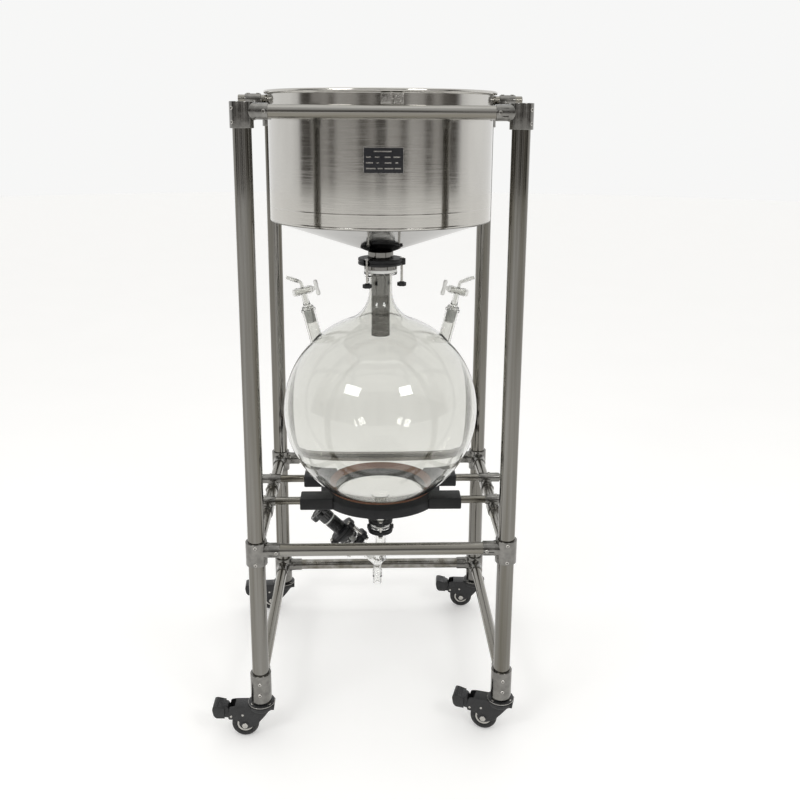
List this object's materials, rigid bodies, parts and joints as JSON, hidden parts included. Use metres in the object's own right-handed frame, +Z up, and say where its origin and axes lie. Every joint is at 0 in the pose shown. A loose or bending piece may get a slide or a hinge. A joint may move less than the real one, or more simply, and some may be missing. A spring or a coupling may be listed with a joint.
{
  "type": "vacuum filter with glass receiving flask",
  "caption": "Stainless filter funnel clamped over a spherical glass receiving flask with stopcocks and a drain valve, in a square tube frame on braked swivel castors.",
  "frame": {"origin": "point on the floor below the axis of the funnel and the flask", "axes": "+Z up along the axis of the funnel and the flask, +X to the right along the line of the two stopcocks, -Y the front with the name plate"},
  "size_m": [0.7191, 0.6218, 1.468],
  "materials": {
    "steel": "polished tube",
    "cast_steel": "satin cast",
    "bar_steel": "polished",
    "screw_steel": "bright",
    "mirror_steel": "mirror polished",
    "name_plate_black": "satin",
    "clear_glass": "clear borosilicate",
    "white_ptfe": "waxy",
    "brown_liner": "soft",
    "black_plastic": "moulded",
    "castor_black": "satin",
    "castor_tyre": "rubber tread"
  },
  "bodies": {
    "frame": {"leg_front_left": "steel", "leg_front_right": "steel", "leg_rear_left": "steel", "leg_rear_right": "steel", "top_rail_front": "steel", "top_rail_rear": "steel", "top_rail_left": "steel", "top_rail_right": "steel", "mid_rail_front": "steel", "mid_rail_rear": "steel", "mid_rail_left": "steel", "mid_rail_right": "steel", "low_rails": "steel", "top_corners": "cast_steel", "mid_tees": "cast_steel", "base_sleeves": "cast_steel", "funnel_clamps": "cast_steel", "ring_clamps": "cast_steel", "funnel_trunnions": "bar_steel", "ring_bars": "bar_steel", "rim_clasp": "bar_steel", "set_screws": "screw_steel", "drain_clamp_screws": "screw_steel", "funnel_wall": "mirror_steel", "funnel_cone": "mirror_steel", "drip_tube": "mirror_steel", "name_plate": "name_plate_black", "receiving_flask": "clear_glass", "port_adapter_left": "clear_glass", "port_adapter_right": "clear_glass", "valve_body": "clear_glass", "valve_collar": "white_ptfe", "flange_gaskets": "white_ptfe", "filter_seal": "white_ptfe", "seat_liner": "brown_liner", "support_ring": "black_plastic", "neck_clamp_rings": "black_plastic", "neck_clamp_knobs": "black_plastic", "drain_clamp_rings": "black_plastic", "valve_clamp_rings": "black_plastic", "valve_bonnet": "black_plastic", "castor_mounts": "castor_black"},
    "filter_plate": {"filter_plate": "bar_steel", "lift_handle": "bar_steel"},
    "stopcock_left": {"stopcock_plug_left": "white_ptfe"},
    "stopcock_right": {"stopcock_plug_right": "white_ptfe"},
    "valve_stem": {"valve_stem": "white_ptfe"},
    "valve_handwheel": {"valve_handwheel": "black_plastic"},
    "castor_front_left": {"castor_fork_front_left": "castor_black"},
    "wheel_front_left": {"castor_wheel_front_left": "castor_tyre"},
    "pedal_front_left": {"brake_pedal_front_left": "castor_black"},
    "castor_front_right": {"castor_fork_front_right": "castor_black"},
    "wheel_front_right": {"castor_wheel_front_right": "castor_tyre"},
    "pedal_front_right": {"brake_pedal_front_right": "castor_black"},
    "castor_rear_left": {"castor_fork_rear_left": "castor_black"},
    "wheel_rear_left": {"castor_wheel_rear_left": "castor_tyre"},
    "pedal_rear_left": {"brake_pedal_rear_left": "castor_black"},
    "castor_rear_right": {"castor_fork_rear_right": "castor_black"},
    "wheel_rear_right": {"castor_wheel_rear_right": "castor_tyre"},
    "pedal_rear_right": {"brake_pedal_rear_right": "castor_black"}
  },
  "joints": [
    {"name": "filter_plate_lift", "type": "slide", "parent": "frame", "child": "filter_plate", "axis": [0, 0, 1], "range_m": [0, 0.27]},
    {"name": "stopcock_left_turn", "type": "hinge", "parent": "frame", "child": "stopcock_left", "pos_m": [-0.18604, 0, 1.00438], "axis": [-0.9703, 0, -0.2419], "continuous": true},
    {"name": "stopcock_right_turn", "type": "hinge", "parent": "frame", "child": "stopcock_right", "pos_m": [0.18604, 0, 1.00438], "axis": [0.9703, 0, -0.2419], "continuous": true},
    {"name": "valve_stem_slide", "type": "slide", "parent": "frame", "child": "valve_stem", "axis": [-0.7314, 0, 0.682], "range_m": [0, 0.009]},
    {"name": "valve_handwheel_turn", "type": "hinge", "parent": "valve_stem", "child": "valve_handwheel", "pos_m": [-0.008, 0, 0.29698], "axis": [-0.7314, 0, 0.682], "range_deg": [0, 1081]},
    {"name": "castor_front_left_swivel", "type": "hinge", "parent": "frame", "child": "castor_front_left", "pos_m": [-0.28, -0.28, 0.081], "axis": [0, 0, 1], "continuous": true},
    {"name": "castor_front_left_roll", "type": "hinge", "parent": "castor_front_left", "child": "wheel_front_left", "pos_m": [-0.318, -0.28, 0.0315], "axis": [0, -1, 0], "continuous": true},
    {"name": "castor_front_left_brake", "type": "hinge", "parent": "castor_front_left", "child": "pedal_front_left", "pos_m": [-0.35, -0.28, 0.055], "axis": [0, -1, 0], "range_deg": [0, 14]},
    {"name": "castor_front_right_swivel", "type": "hinge", "parent": "frame", "child": "castor_front_right", "pos_m": [0.28, -0.28, 0.081], "axis": [0, 0, 1], "continuous": true},
    {"name": "castor_front_right_roll", "type": "hinge", "parent": "castor_front_right", "child": "wheel_front_right", "pos_m": [0.24366, -0.26889, 0.0315], "axis": [-0.2924, -0.9563, 0], "continuous": true},
    {"name": "castor_front_right_brake", "type": "hinge", "parent": "castor_front_right", "child": "pedal_front_right", "pos_m": [0.21306, -0.25953, 0.055], "axis": [-0.2924, -0.9563, 0], "range_deg": [0, 14]},
    {"name": "castor_rear_left_swivel", "type": "hinge", "parent": "frame", "child": "castor_rear_left", "pos_m": [-0.28, 0.28, 0.081], "axis": [0, 0, 1], "continuous": true},
    {"name": "castor_rear_left_roll", "type": "hinge", "parent": "castor_rear_left", "child": "wheel_rear_left", "pos_m": [-0.31791, 0.27735, 0.0315], "axis": [0.0698, -0.9976, 0], "continuous": true},
    {"name": "castor_rear_left_brake", "type": "hinge", "parent": "castor_rear_left", "child": "pedal_rear_left", "pos_m": [-0.34983, 0.27512, 0.055], "axis": [0.0698, -0.9976, 0], "range_deg": [0, 14]},
    {"name": "castor_rear_right_swivel", "type": "hinge", "parent": "frame", "child": "castor_rear_right", "pos_m": [0.28, 0.28, 0.081], "axis": [0, 0, 1], "continuous": true},
    {"name": "castor_rear_right_roll", "type": "hinge", "parent": "castor_rear_right", "child": "wheel_rear_right", "pos_m": [0.24209, 0.28265, 0.0315], "axis": [-0.0698, -0.9976, 0], "continuous": true},
    {"name": "castor_rear_right_brake", "type": "hinge", "parent": "castor_rear_right", "child": "pedal_rear_right", "pos_m": [0.21017, 0.28488, 0.055], "axis": [-0.0698, -0.9976, 0], "range_deg": [0, 14]}
  ],
  "couplings": [
    {"joint": "valve_handwheel_turn", "follows": "valve_stem_slide", "rad_per_m": 2094.4}
  ]
}
